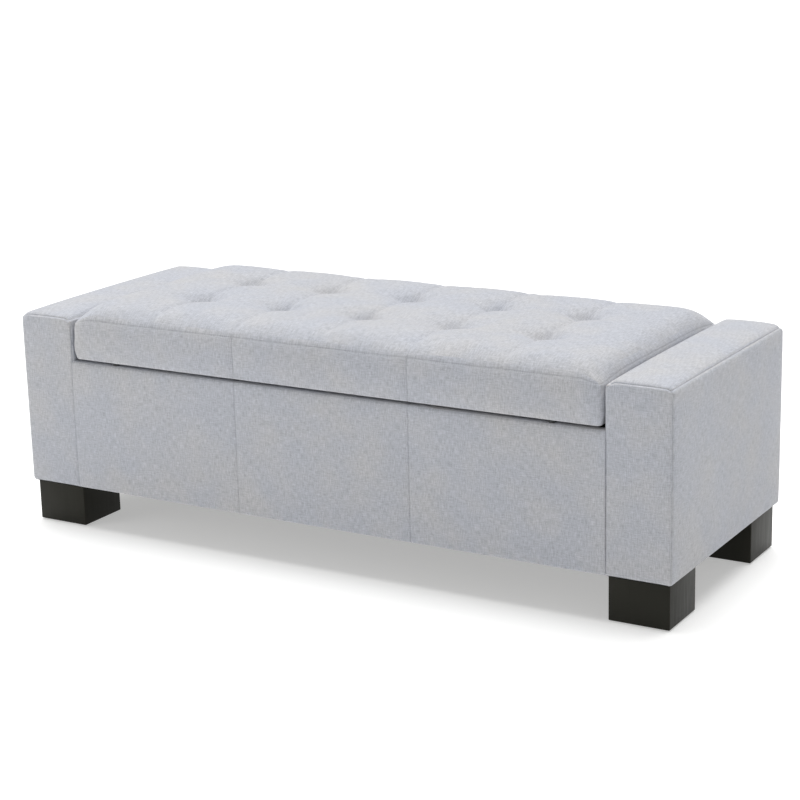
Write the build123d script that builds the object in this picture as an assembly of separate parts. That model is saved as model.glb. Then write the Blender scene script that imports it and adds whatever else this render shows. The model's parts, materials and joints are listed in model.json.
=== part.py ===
"""Upholstered storage bench: two padded end boxes, a chest between them and a hinged, tufted lid.

Millimetres. X runs along the bench, the front faces -Y, +Z is up, and the origin is on the floor
under the middle. Left and right are as seen by someone facing the front.
"""

from build123d import *
import os
from math import cos, radians, sin

# Overall sizes
LENGTH = 1300.0
DEPTH = 485.0  # front cover to the hinge barrels
FOOT_HEIGHT = 80.0
RIM_TOP = 323.0  # top of the chest, covered
LID_BOTTOM = 327.0
ARM_TOP = 410.0
LID_TOP = 424.0
ARM_WIDTH = 115.5
LID_HALF = 528.0  # half the length of the covered lid

# Boards, wadding and cloth
BOARD = 15.0
ARM_BOARD = 12.0
FLOOR_BOARD = 12.0
WADDING = 3.5
BACK_WADDING = 2.5
LINING = 1.0
TURN_IN = 300.0  # height that the covers reach down to inside the chest
EDGE = 6.0  # rounding of the covered edges
ARM_EDGE = 12.0
LID_EDGE = 20.0
LID_CORNER = 14.0

# Hinges
BARREL_R = 3.5
PIN_R = 1.75
PIN_PLAY = 0.05
LEAF = 1.5
LEAF_FRONT = 213.0
HINGE_WIDTH = 70.0
KNUCKLES = 5
KNUCKLE_GAP = 0.4
HINGE_PLACES = (-400.0, 0.0, 400.0)
SCREW_STEP = 24.0
SCREW_R = 1.75
SCREW_HEAD_R = 3.0

# Lid stays: the arm turns on the chest's bracket, and the link joins it to the lid's bracket.
# Hinge axis, bracket pivot, elbow and lid pivot are the corners of a parallelogram.
STAY_ARM = (-200.0, -10.0)  # hinge axis to lid pivot, and bracket pivot to elbow, lid shut
STAY_DROP = (-60.0, -80.0)  # hinge axis to bracket pivot, and lid pivot to elbow
LID_LIMIT = 95.0
BAR_THICK = 3.0
BAR_WIDTH = 16.0
SHAFT_R = 4.0
RIVET_R = 3.0
OPEN_PIVOT_R = 3.6  # the link's hole at the lid pivot, where the linkage has play
PLAY = 0.3

# Feet
FOOT_X = 107.0
FOOT_Y = 106.0
FOOT_INSET_X = 5.0
FOOT_INSET_Y = 10.0
PAD = 2.0
PAD_SIZE = 90.0
BLOCK = 70.0
BLOCK_THICK = 25.0
BOLT_R = 4.0
TEE_R = 5.0

# Tufting
TUFT_COLUMNS = (-350.0, -175.0, 0.0, 175.0, 350.0)
TUFT_ROWS = (-82.0, 82.0)

# Places that follow from the sizes
END = LENGTH / 2
FRONT = -DEPTH / 2
HINGE_Y = DEPTH / 2 - BARREL_R
HINGE_Z = (RIM_TOP + LID_BOTTOM) / 2
BACK = HINGE_Y - 1.0
BASE = FOOT_HEIGHT
ARM_IN = END - ARM_WIDTH
BOARD_FRONT = FRONT + WADDING
BOARD_BACK = BACK - BACK_WADDING
BOARD_END = END - WADDING
BOARD_IN = ARM_IN + WADDING
FLOOR_LOW = BASE + LINING
FLOOR_TOP = FLOOR_LOW + FLOOR_BOARD
RIM_BOARD = RIM_TOP - 3.0
CHEST_FRONT = BOARD_FRONT + BOARD
CHEST_BACK = BOARD_BACK - BOARD
ARM_BOARD_TOP = ARM_TOP - 14.0
ARM_PANEL_TOP = ARM_BOARD_TOP - ARM_BOARD
LID_BOARD_LOW = LID_BOTTOM + LINING
LID_BOARD_TOP = LID_BOARD_LOW + BOARD
PIVOT = (HINGE_Y + STAY_DROP[0], HINGE_Z + STAY_DROP[1])
ELBOW = (PIVOT[0] + STAY_ARM[0], PIVOT[1] + STAY_ARM[1])
LID_PIVOT = (HINGE_Y + STAY_ARM[0], HINGE_Z + STAY_ARM[1])
STAY_PLATE_X = (BOARD_IN - LINING - 3.0, BOARD_IN - LINING)
STAY_ARM_X = (STAY_PLATE_X[0] - 7.5, STAY_PLATE_X[0] - 7.5 + BAR_THICK)
LINK_X = (STAY_ARM_X[0] - 1.5 - BAR_THICK, STAY_ARM_X[0] - 1.5)
LID_FLANGE_X = (LINK_X[0] - 5.0, LINK_X[0] - 2.5)
FOOT_CENTRES = [
    (side * (END - FOOT_INSET_X - FOOT_X / 2), y)
    for side in (-1, 1)
    for y in (FRONT + FOOT_INSET_Y + FOOT_Y / 2, BACK - FOOT_INSET_Y - FOOT_Y / 2)
]
FOOT_NAMES = ("front_left", "back_left", "front_right", "back_right")


def block(x, y, z):
    """A box between the two limits given for each axis."""
    centre = [(low + high) / 2 for low, high in (x, y, z)]
    return Pos(*centre) * Box(*[high - low for low, high in (x, y, z)])


def post(x, y, z, radius):
    """An upright cylinder between two heights."""
    return Pos(x, y, z[0]) * extrude(Circle(radius), z[1] - z[0])


def shaft(place, x, radius):
    """A cylinder along X at a (y, z) place."""
    plane = Plane(origin=(x[0], place[0], place[1]), x_dir=(0, 1, 0), z_dir=(1, 0, 0))
    return plane * extrude(Circle(radius), x[1] - x[0])


def joined(solids):
    """Several separate solids as one node."""
    return Compound(children=[solid for part in solids for solid in part.solids()])


def rounded(part, radius, *axes):
    """The part with its edges along the given axes rounded."""
    edges = [edge for axis in axes for edge in part.edges().filter_by(axis)]
    return fillet(edges, radius)


def other_side(part):
    """The same part at the other end of the bench."""
    return mirror(part, Plane.YZ)


def hinge_screw_places():
    """The (x, y) places of the hinge screws."""
    y = CHEST_BACK + BOARD / 2
    return [(x + step * SCREW_STEP, y) for x in HINGE_PLACES for step in (-1, 0, 1)]


def stay_screw_places():
    """The (y, z) places of the screws in a chest bracket."""
    return [(PIVOT[0] + side * 21.0, PIVOT[1] - 15.0) for side in (-1, 1)]


def lid_bracket_screw_places():
    """The (x, y) places of the screws in a lid bracket."""
    return [(LID_FLANGE_X[0] - 10.0, LID_PIVOT[0] + side * 12.0) for side in (-1, 1)]


# Chest and end boxes


def bottom_panel():
    """The floor board that carries both end boxes and the chest."""
    panel = block((-BOARD_END, BOARD_END), (BOARD_FRONT, BOARD_BACK), (FLOOR_LOW, FLOOR_TOP))
    for x, y in FOOT_CENTRES:
        panel -= post(x, y, (FLOOR_LOW, FLOOR_TOP), BOLT_R)
    return panel


def front_panel():
    """The chest's front board."""
    return block((-BOARD_IN, BOARD_IN), (BOARD_FRONT, CHEST_FRONT), (FLOOR_TOP, RIM_BOARD))


def back_panel():
    """The chest's back board, drilled for the hinge screws."""
    panel = block((-BOARD_IN, BOARD_IN), (CHEST_BACK, BOARD_BACK), (FLOOR_TOP, RIM_BOARD))
    for x, y in hinge_screw_places():
        panel -= post(x, y, (TURN_IN, RIM_BOARD), SCREW_R)
    return panel


def inner_side_panel():
    """The right end box's inner board, which is also the chest's end wall."""
    x = (BOARD_IN, BOARD_IN + ARM_BOARD)
    panel = block(x, (BOARD_FRONT, BOARD_BACK), (FLOOR_TOP, ARM_PANEL_TOP))
    for place in stay_screw_places():
        panel -= shaft(place, (BOARD_IN, BOARD_IN + ARM_BOARD - 2.0), SCREW_R)
    return panel


def outer_side_panel():
    """The right end box's outer board."""
    x = (BOARD_END - ARM_BOARD, BOARD_END)
    return block(x, (BOARD_FRONT, BOARD_BACK), (FLOOR_TOP, ARM_PANEL_TOP))


def arm_closing_board(y):
    """A narrow board that closes the right end box at its front or back."""
    x = (BOARD_IN + ARM_BOARD, BOARD_END - ARM_BOARD)
    return block(x, y, (FLOOR_TOP, ARM_PANEL_TOP))


def arm_top_board():
    """The board under the right arm rest's foam."""
    return block((BOARD_IN, BOARD_END), (BOARD_FRONT, BOARD_BACK), (ARM_PANEL_TOP, ARM_BOARD_TOP))


def arm_foam():
    """The right arm rest's foam slab, with its top edges rounded."""
    slab = block(
        (ARM_IN + 1.5, END - 1.5), (FRONT + 1.5, BACK - 1.5), (ARM_BOARD_TOP, ARM_TOP - 1.5)
    )
    return fillet(slab.faces().sort_by(Axis.Z)[-1].edges(), ARM_EDGE - 2.0)


def arm_cover():
    """The right end box's cloth and wadding, open at the bottom and inside the chest."""
    cover = block((ARM_IN, END), (FRONT, BACK), (BASE, ARM_TOP))
    upright = [edge for edge in cover.edges().filter_by(Axis.Z) if edge.center().X > ARM_IN + 1.0]
    cover = fillet(upright, EDGE)
    cover = fillet(cover.faces().sort_by(Axis.Z)[-1].edges(), ARM_EDGE)
    cover -= block((BOARD_IN, BOARD_END), (BOARD_FRONT, BOARD_BACK), (BASE, ARM_BOARD_TOP))
    cover -= arm_foam()
    inner = (ARM_IN, BOARD_IN)
    cover -= block(inner, (BOARD_FRONT, BOARD_BACK), (BASE, TURN_IN))
    for y in ((BOARD_FRONT, CHEST_FRONT + LINING), (CHEST_BACK - LINING, BOARD_BACK)):
        cover -= block(inner, y, (TURN_IN, RIM_TOP))
    return cover


def front_cover():
    """The chest's front cloth and wadding, which goes over the rim and down inside."""
    x = (-ARM_IN, ARM_IN)
    cover = block(x, (FRONT, CHEST_FRONT + LINING), (BASE, RIM_TOP))
    outer = [edge for edge in cover.edges().filter_by(Axis.X) if edge.center().Y < FRONT + 1.0]
    cover = fillet(outer, EDGE)
    cover -= block(x, (BOARD_FRONT, CHEST_FRONT), (BASE, RIM_BOARD))
    return cover - block(x, (CHEST_FRONT, CHEST_FRONT + LINING), (BASE, TURN_IN))


def back_cover():
    """The chest's back cloth, which goes over the rim and down inside."""
    x = (-ARM_IN, ARM_IN)
    cover = block(x, (CHEST_BACK - LINING, BACK), (BASE, RIM_TOP))
    outer = [edge for edge in cover.edges().filter_by(Axis.X) if edge.center().Y > BACK - 1.0]
    cover = fillet(outer, EDGE)
    cover -= block(x, (CHEST_BACK, BOARD_BACK), (BASE, RIM_BOARD))
    cover -= block(x, (CHEST_BACK - LINING, CHEST_BACK), (BASE, TURN_IN))
    for place in hinge_screw_places():
        cover -= post(*place, (RIM_BOARD, RIM_TOP), SCREW_R)
    return cover


def compartment_lining():
    """The non-woven lining of the chest, an open tub."""
    y = (CHEST_FRONT, CHEST_BACK)
    inside = (CHEST_FRONT + LINING, CHEST_BACK - LINING)
    wall = BOARD_IN - LINING
    tub = block((-BOARD_IN, BOARD_IN), y, (FLOOR_TOP, TURN_IN))
    tub -= block((-wall, wall), inside, (FLOOR_TOP + LINING, TURN_IN))
    for place in stay_screw_places():
        tub -= shaft(place, (-BOARD_IN, BOARD_IN), SCREW_R)
    return tub


def dust_cover():
    """The thin black cloth under the floor board."""
    cover = block((-BOARD_END, BOARD_END), (BOARD_FRONT, BOARD_BACK), (BASE, FLOOR_LOW))
    for x, y in FOOT_CENTRES:
        cover -= post(x, y, (BASE, FLOOR_LOW), BOLT_R)
    return cover


def lid_bumpers():
    """Two rubber buttons on the front rim, under the lid's front corners."""
    y = (FRONT + CHEST_FRONT) / 2
    return joined([post(x, y, (RIM_TOP, LID_BOTTOM - PLAY), 6.0) for x in (-440.0, 440.0)])


# Feet


def foot(x, y):
    """A solid wood block foot, drilled for its bolt."""
    size_x = (x - FOOT_X / 2, x + FOOT_X / 2)
    size_y = (y - FOOT_Y / 2, y + FOOT_Y / 2)
    body = rounded(block(size_x, size_y, (PAD, BASE)), 2.0, Axis.Z)
    body = chamfer(body.faces().sort_by(Axis.Z)[0].edges(), 1.5)
    return body - post(x, y, (BASE - 36.0, BASE), BOLT_R)


def foot_pad(x, y):
    """A thin felt pad under a foot."""
    half = PAD_SIZE / 2
    return block((x - half, x + half), (y - half, y + half), (0, PAD))


def leg_block(x, y):
    """The block inside an end box that holds a foot's threaded insert."""
    half = BLOCK / 2
    top = FLOOR_TOP + BLOCK_THICK
    body = block((x - half, x + half), (y - half, y + half), (FLOOR_TOP, top))
    return body - post(x, y, (FLOOR_TOP, top - 14.0), BOLT_R) - post(x, y, (top - 14.0, top), TEE_R)


def foot_bolts():
    """One hanger bolt for each foot."""
    low = BASE - 36.0
    top = FLOOR_TOP + BLOCK_THICK
    return joined([post(x, y, (low, top), BOLT_R) for x, y in FOOT_CENTRES])


def foot_tee_nuts():
    """One tee nut for each foot, let into the top of its block."""
    top = FLOOR_TOP + BLOCK_THICK
    nuts = []
    for x, y in FOOT_CENTRES:
        nut = post(x, y, (top - 14.0, top), TEE_R) + post(x, y, (top, top + 1.5), 11.0)
        nuts.append(nut - post(x, y, (top - 14.0, top + 1.5), BOLT_R))
    return joined(nuts)


# Lid


def lid_board_blank():
    """The lid's base board before drilling."""
    half = LID_HALF - WADDING
    board = block((-half, half), (BOARD_FRONT, BACK - 5.0), (LID_BOARD_LOW, LID_BOARD_TOP))
    return rounded(board, LID_CORNER - 4.0, Axis.Z)


def lid_board():
    """The lid's base board, with holes and recesses for the tufting ties."""
    board = lid_board_blank()
    for x in TUFT_COLUMNS:
        for y in TUFT_ROWS:
            board -= post(x, y, (LID_BOARD_LOW, LID_BOARD_TOP), 2.0)
            board -= post(x, y, (LID_BOARD_LOW, LID_BOARD_LOW + 2.5), 10.0)
    for x, y in hinge_screw_places():
        board -= post(x, y, (LID_BOARD_LOW, LID_BOARD_LOW + 12.0), SCREW_R)
    for x, y in lid_bracket_screw_places():
        for side in (-1, 1):
            board -= post(side * x, y, (LID_BOARD_LOW, LID_BOARD_LOW + 12.0), SCREW_R)
    return board


def lid_foam_blank():
    """The lid's foam slab, with rounded corners and top edges."""
    half = LID_HALF - 2.0
    foam = block((-half, half), (FRONT + 2.0, BACK - 2.0), (LID_BOARD_TOP, LID_TOP - 2.0))
    foam = rounded(foam, LID_CORNER - 2.0, Axis.Z)
    return fillet(foam.faces().sort_by(Axis.Z)[-1].edges(), LID_EDGE - 2.0)


def lid_foam():
    """The lid's foam slab, pierced for the tufting ties."""
    foam = lid_foam_blank()
    for x in TUFT_COLUMNS:
        for y in TUFT_ROWS:
            foam -= post(x, y, (LID_BOARD_TOP, LID_TOP), 1.5)
    return foam


def lid_cover():
    """The lid's tufted cloth, closed over the foam and turned in under the board."""
    cover = block((-LID_HALF, LID_HALF), (FRONT, BACK), (LID_BOTTOM, LID_TOP))
    cover = rounded(cover, LID_CORNER, Axis.Z)
    cover = fillet(cover.faces().sort_by(Axis.Z)[-1].edges(), LID_EDGE)
    cover = fillet(cover.faces().sort_by(Axis.Z)[0].edges(), EDGE)
    cover -= lid_foam_blank() + lid_board_blank()
    half, y = lining_limits()
    cover -= block((-half, half), y, (LID_BOTTOM, LID_BOARD_LOW))
    for x, y in hinge_screw_places():
        cover -= post(x, y, (LID_BOTTOM, LID_BOARD_LOW), SCREW_R)
    return cover


def lining_limits():
    """Half the length of the lid's lining, and its limits from front to back."""
    return LID_HALF - 16.0, (FRONT + 20.0, LEAF_FRONT - 2.0)


def lid_lining():
    """The thin black cloth stapled under the lid."""
    half, y = lining_limits()
    lining = block((-half, half), y, (LID_BOTTOM, LID_BOARD_LOW))
    for x, place in lid_bracket_screw_places():
        for side in (-1, 1):
            lining -= post(side * x, place, (LID_BOTTOM, LID_BOARD_LOW), SCREW_R)
    return lining


def tuft_ties():
    """The waxed twines that pull the cloth down at each tuft."""
    z = (LID_BOARD_LOW + 2.5, LID_TOP - 20.0)
    return joined([post(x, y, z, 1.0) for x in TUFT_COLUMNS for y in TUFT_ROWS])


def tuft_anchors():
    """The discs under the board that the ties are knotted to."""
    z = (LID_BOARD_LOW, LID_BOARD_LOW + 2.5)
    return joined([post(x, y, z, 9.5) for x in TUFT_COLUMNS for y in TUFT_ROWS])


# Hinges


def hinge_leaf(centre, own, low):
    """One leaf with its knuckles: own is 0 for the chest's leaf and 1 for the lid's."""
    pitch = HINGE_WIDTH / KNUCKLES
    left = centre - HINGE_WIDTH / 2
    z = (low, low + LEAF)
    leaf = block((left, left + HINGE_WIDTH), (LEAF_FRONT, HINGE_Y - BARREL_R - 0.5), z)
    for step in range(own, KNUCKLES, 2):
        x = (left + step * pitch + KNUCKLE_GAP / 2, left + (step + 1) * pitch - KNUCKLE_GAP / 2)
        leaf += block(x, (LEAF_FRONT + 5.0, HINGE_Y - 2.0), z)
        leaf += shaft((HINGE_Y, HINGE_Z), x, BARREL_R)
    leaf -= shaft((HINGE_Y, HINGE_Z), (left, left + HINGE_WIDTH), PIN_R + PIN_PLAY)
    for x, y in hinge_screw_places():
        leaf -= post(x, y, z, SCREW_HEAD_R)
    return leaf


def hinge_box_leaves():
    """The three leaves screwed on the chest's back rim."""
    return joined([hinge_leaf(x, 0, RIM_TOP) for x in HINGE_PLACES])


def hinge_lid_leaves():
    """The three leaves screwed under the lid's back edge."""
    return joined([hinge_leaf(x, 1, LID_BOTTOM - LEAF) for x in HINGE_PLACES])


def hinge_pins():
    """The hinge pins, each with a head at both ends."""
    axis = (HINGE_Y, HINGE_Z)
    pins = []
    for centre in HINGE_PLACES:
        left, right = centre - HINGE_WIDTH / 2, centre + HINGE_WIDTH / 2
        pin = shaft(axis, (left - 1.0, right + 1.0), PIN_R)
        pins.append(pin + shaft(axis, (left - 1.0, left), 2.6) + shaft(axis, (right, right + 1.0), 2.6))
    return joined(pins)


def hinge_box_screws():
    """The screws through the chest's leaves."""
    screws = []
    for x, y in hinge_screw_places():
        head = post(x, y, (RIM_TOP, RIM_TOP + LEAF), SCREW_HEAD_R)
        screws.append(head + post(x, y, (TURN_IN, RIM_TOP), SCREW_R))
    return joined(screws)


def hinge_lid_screws():
    """The screws through the lid's leaves."""
    screws = []
    for x, y in hinge_screw_places():
        head = post(x, y, (LID_BOTTOM - LEAF, LID_BOTTOM), SCREW_HEAD_R)
        screws.append(head + post(x, y, (LID_BOTTOM, LID_BOARD_LOW + 12.0), SCREW_R))
    return joined(screws)


# Lid stays


def bar(start, end, x, start_r, end_r):
    """A flat bar with round ends between two (y, z) places, with a hole at each."""
    run = Vector(0, end[0] - start[0], end[1] - start[1])
    middle = (x[0], (start[0] + end[0]) / 2, (start[1] + end[1]) / 2)
    plane = Plane(origin=middle, x_dir=run.normalized(), z_dir=(1, 0, 0))
    body = plane * extrude(SlotCenterToCenter(run.length, BAR_WIDTH), x[1] - x[0])
    return body - shaft(start, x, start_r) - shaft(end, x, end_r)


def stay_arm():
    """The right stay's arm, from the chest bracket to the elbow."""
    return bar(PIVOT, ELBOW, STAY_ARM_X, SHAFT_R + PIN_PLAY, RIVET_R)


def stay_link():
    """The right stay's link, from the elbow to the lid bracket."""
    return bar(ELBOW, LID_PIVOT, LINK_X, RIVET_R + PIN_PLAY, OPEN_PIVOT_R)


def elbow_rivet():
    """The right stay's elbow rivet, fast in the arm, with a washer beside the link."""
    rivet = shaft(ELBOW, (LINK_X[0] - 1.8, STAY_ARM_X[1] + 1.2), RIVET_R)
    rivet += shaft(ELBOW, (LINK_X[0] - 1.8, LINK_X[0] - PLAY), 5.5)
    rivet += shaft(ELBOW, (LINK_X[1] + PLAY, STAY_ARM_X[0]), 6.5)
    return rivet + shaft(ELBOW, (STAY_ARM_X[1], STAY_ARM_X[1] + 1.2), 5.5)


def stop_place():
    """The (y, z) place of the peg that the arm meets when the lid is fully open."""
    turn = radians(LID_LIMIT)
    run_y = STAY_ARM[0] * cos(turn) + STAY_ARM[1] * sin(turn)
    run_z = -STAY_ARM[0] * sin(turn) + STAY_ARM[1] * cos(turn)
    along = Vector(run_y, run_z).normalized()
    reach = BAR_WIDTH / 2 + RIVET_R + 2 * PLAY
    return (PIVOT[0] + 30.0 * along.X + reach * along.Y, PIVOT[1] + 30.0 * along.Y - reach * along.X)


def stay_box_bracket():
    """The right stay's plate on the chest wall, with its pivot and its stop peg."""
    y = (PIVOT[0] - 29.0, PIVOT[0] + 29.0)
    plate = block(STAY_PLATE_X, y, (PIVOT[1] - 25.0, PIVOT[1] + 42.0))
    plate = rounded(plate, 8.0, Axis.X)
    plate += shaft(PIVOT, (STAY_ARM_X[1] + PLAY, STAY_PLATE_X[0]), 9.0)
    plate += shaft(PIVOT, (STAY_ARM_X[0] - 3.0, STAY_PLATE_X[0]), SHAFT_R)
    plate += shaft(PIVOT, (STAY_ARM_X[0] - 3.0, STAY_ARM_X[0] - PLAY), 7.0)
    plate += shaft(stop_place(), (STAY_ARM_X[0] - 1.0, STAY_PLATE_X[0]), RIVET_R)
    for place in stay_screw_places():
        plate -= shaft(place, STAY_PLATE_X, SCREW_R)
    return plate


def stay_lid_bracket():
    """The right stay's angle under the lid, with the lid pivot."""
    y, z = LID_PIVOT
    tab = block(LID_FLANGE_X, (y - 12.0, y + 12.0), (z - 9.0, LID_BOTTOM - 2.5))
    tab = fillet([e for e in tab.edges().filter_by(Axis.X) if e.center().Z < z], 8.0)
    tab += block((LID_FLANGE_X[1] - 26.0, LID_FLANGE_X[1]), (y - 20.0, y + 20.0),
                 (LID_BOTTOM - 2.5, LID_BOTTOM))
    tab += shaft(LID_PIVOT, (LID_FLANGE_X[1], LINK_X[0] - PLAY), 7.0)
    tab += shaft(LID_PIVOT, (LID_FLANGE_X[1], LINK_X[1] + 1.9), RIVET_R)
    tab += shaft(LID_PIVOT, (LINK_X[1] + PLAY, LINK_X[1] + 1.9), 5.5)
    for place in lid_bracket_screw_places():
        tab -= post(*place, (LID_BOTTOM - 2.5, LID_BOTTOM), SCREW_R)
    return tab


def stay_box_screws():
    """The screws that hold both chest brackets."""
    screws = []
    for place in stay_screw_places():
        head = shaft(place, (STAY_PLATE_X[0] - 1.5, STAY_PLATE_X[0]), 4.0)
        screw = head + shaft(place, (STAY_PLATE_X[0], BOARD_IN + ARM_BOARD - 2.0), SCREW_R)
        screws += [screw, other_side(screw)]
    return joined(screws)


def stay_lid_screws():
    """The screws that hold both lid brackets."""
    low = LID_BOTTOM - 2.5
    screws = []
    for x, y in lid_bracket_screw_places():
        head = post(x, y, (low - 1.2, low), 4.0)
        screw = head + post(x, y, (low, LID_BOARD_LOW + 12.0), SCREW_R)
        screws += [screw, other_side(screw)]
    return joined(screws)


def handed_parts():
    """The parts that both ends of the bench have, as built for the right end."""
    front = (BOARD_FRONT, BOARD_FRONT + ARM_BOARD)
    back = (BOARD_BACK - ARM_BOARD, BOARD_BACK)
    return {
        "inner_side_panel": inner_side_panel(),
        "outer_side_panel": outer_side_panel(),
        "arm_front_board": arm_closing_board(front),
        "arm_back_board": arm_closing_board(back),
        "arm_top_board": arm_top_board(),
        "arm_foam": arm_foam(),
        "arm_cover": arm_cover(),
        "stay_box_bracket": stay_box_bracket(),
        "stay_arm": stay_arm(),
        "elbow_rivet": elbow_rivet(),
        "stay_link": stay_link(),
        "stay_lid_bracket": stay_lid_bracket(),
    }


def all_parts():
    """Every node of the bench by name."""
    single = (
        bottom_panel, front_panel, back_panel, front_cover, back_cover, compartment_lining,
        dust_cover, lid_bumpers, foot_bolts, foot_tee_nuts, lid_board, lid_foam, lid_cover,
        lid_lining, tuft_ties, tuft_anchors, hinge_box_leaves, hinge_lid_leaves, hinge_pins,
        hinge_box_screws, hinge_lid_screws, stay_box_screws, stay_lid_screws,
    )
    parts = {make.__name__: make() for make in single}
    for name, part in handed_parts().items():
        parts[f"right_{name}"] = part
        parts[f"left_{name}"] = other_side(part)
    for name, (x, y) in zip(FOOT_NAMES, FOOT_CENTRES):
        parts[f"{name}_foot"] = foot(x, y)
        parts[f"{name}_leg_block"] = leg_block(x, y)
    parts["foot_pads"] = joined([foot_pad(x, y) for x, y in FOOT_CENTRES])
    return parts


os.makedirs("parts", exist_ok=True)
for node, part in all_parts().items():
    export_step(part, f"parts/{node}.step")
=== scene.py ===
"""Looks of the upholstered storage bench: tufted lid, padded box ends, chest covers, feet and fittings."""
import json
import logging
from dataclasses import dataclass, field
from enum import Enum
from math import pi, radians
from typing import Callable

import bpy
import numpy as np
from mathutils import Matrix, Vector


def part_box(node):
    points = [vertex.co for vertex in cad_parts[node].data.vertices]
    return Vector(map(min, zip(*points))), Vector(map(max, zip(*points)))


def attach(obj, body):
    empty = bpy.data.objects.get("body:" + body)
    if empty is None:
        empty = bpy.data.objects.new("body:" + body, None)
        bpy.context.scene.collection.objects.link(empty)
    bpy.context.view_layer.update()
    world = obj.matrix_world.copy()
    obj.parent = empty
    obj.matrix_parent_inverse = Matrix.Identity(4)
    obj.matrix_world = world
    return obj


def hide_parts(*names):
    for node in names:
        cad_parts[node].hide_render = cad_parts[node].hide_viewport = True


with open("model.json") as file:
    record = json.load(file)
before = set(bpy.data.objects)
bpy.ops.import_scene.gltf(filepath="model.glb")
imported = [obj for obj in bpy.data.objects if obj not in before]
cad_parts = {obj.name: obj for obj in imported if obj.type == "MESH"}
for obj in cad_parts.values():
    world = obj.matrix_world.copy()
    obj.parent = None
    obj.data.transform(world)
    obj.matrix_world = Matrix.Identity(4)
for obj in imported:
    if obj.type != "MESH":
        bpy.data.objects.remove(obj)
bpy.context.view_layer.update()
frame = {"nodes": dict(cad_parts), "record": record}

LOG = logging.getLogger("bench")
MM = 0.001
TOUCHING = 1e-4
PANEL_JOINS = (-0.176, 0.176)
EDGE_CUTS = (0.001, 0.0022, 0.0036, 0.0052, 0.0072, 0.0098, 0.013, 0.0165, 0.020)
WAVES = ((1.0, 0.31, 0.17), (-0.42, 1.0, 0.29), (0.23, -0.37, 1.0), (0.71, 0.66, -0.5))
Colour = tuple[float, float, float, float]


class Side(Enum):
    """Which end of the bench a box end stands at."""

    LEFT = "left"
    RIGHT = "right"


class Face(Enum):
    """Which long side of the chest a cover is on."""

    FRONT = "front"
    BACK = "back"


class Figure(Enum):
    """What shows in raw wood."""

    CHIPS = "chips"
    GRAIN = "grain"


# ---------------------------------------------------------------- mesh workshop


def deselect() -> None:
    """Leaves nothing selected, because an operator acts on all that is."""
    bpy.ops.object.select_all(action="DESELECT")


def take(piece: bpy.types.Object) -> None:
    """Makes one piece the selected and active one.

    Args:
        piece: The object to work on.
    """
    deselect()
    piece.select_set(True)
    bpy.context.view_layer.objects.active = piece


def settle(piece: bpy.types.Object) -> None:
    """Puts a piece's place and size into its mesh, with the object at the origin.

    Args:
        piece: The object to settle.
    """
    take(piece)
    bpy.ops.object.transform_apply(location=True, rotation=True, scale=True)


def new_box(name: str, low: Vector, high: Vector) -> bpy.types.Object:
    """Adds a cube and stretches it between two corners.

    Args:
        name: The piece's name.
        low: The lowest corner in metres.
        high: The highest corner in metres.

    Returns:
        The new piece, with its place in its mesh.
    """
    deselect()
    middle, size = (low + high) / 2, high - low
    bpy.ops.mesh.primitive_cube_add(size=1.0, location=middle, scale=size)
    piece = bpy.context.active_object
    piece.name = piece.data.name = name
    settle(piece)
    return piece


def new_grid(name: str, low: Vector, high: Vector, z: float, counts: tuple[int, int]) -> bpy.types.Object:
    """Adds a flat grid that fills a plan.

    Args:
        name: The piece's name.
        low: The plan's lowest corner in metres.
        high: The plan's highest corner in metres.
        z: Its height in metres.
        counts: How many faces it has along and across.

    Returns:
        The new piece, with its place in its mesh.
    """
    deselect()
    middle, size = (low + high) / 2, high - low
    bpy.ops.mesh.primitive_grid_add(
        x_subdivisions=counts[0], y_subdivisions=counts[1], size=1.0, location=(middle.x, middle.y, z))
    piece = bpy.context.active_object
    piece.name = piece.data.name = name
    bpy.ops.transform.resize(value=(size.x, size.y, 1.0))
    settle(piece)
    return piece


def points(piece: bpy.types.Object) -> np.ndarray:
    """Returns the piece's points as rows of x, y and z."""
    places = np.zeros(len(piece.data.vertices) * 3)
    piece.data.vertices.foreach_get("co", places)
    return places.reshape(-1, 3)


def place_points(piece: bpy.types.Object, places: np.ndarray) -> None:
    """Moves the piece's points to the given rows of x, y and z."""
    piece.data.vertices.foreach_set("co", places.astype(np.float32).ravel())
    piece.data.update()


def select_where(piece: bpy.types.Object, test: Callable[[Vector], bool], kind: str = "VERT") -> None:
    """Selects points, edges or faces by the place of their middle.

    Args:
        piece: The object, in edit mode or not; it is left in edit mode.
        test: Says of a place whether it is wanted.
        kind: VERT, EDGE or FACE.
    """
    take(piece)
    bpy.ops.object.mode_set(mode="EDIT")
    bpy.ops.mesh.select_mode(type=kind)
    bpy.ops.mesh.select_all(action="DESELECT")
    bpy.ops.object.mode_set(mode="OBJECT")
    mesh = piece.data
    if kind == "VERT":
        for vertex in mesh.vertices:
            vertex.select = test(vertex.co)
    elif kind == "EDGE":
        for edge in mesh.edges:
            ends = [mesh.vertices[i].co for i in edge.vertices]
            edge.select = test((ends[0] + ends[1]) / 2)
    else:
        for face in mesh.polygons:
            face.select = test(face.center)
    bpy.ops.object.mode_set(mode="EDIT")


def leave_edit() -> None:
    """Goes back to object mode."""
    bpy.ops.object.mode_set(mode="OBJECT")


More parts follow.
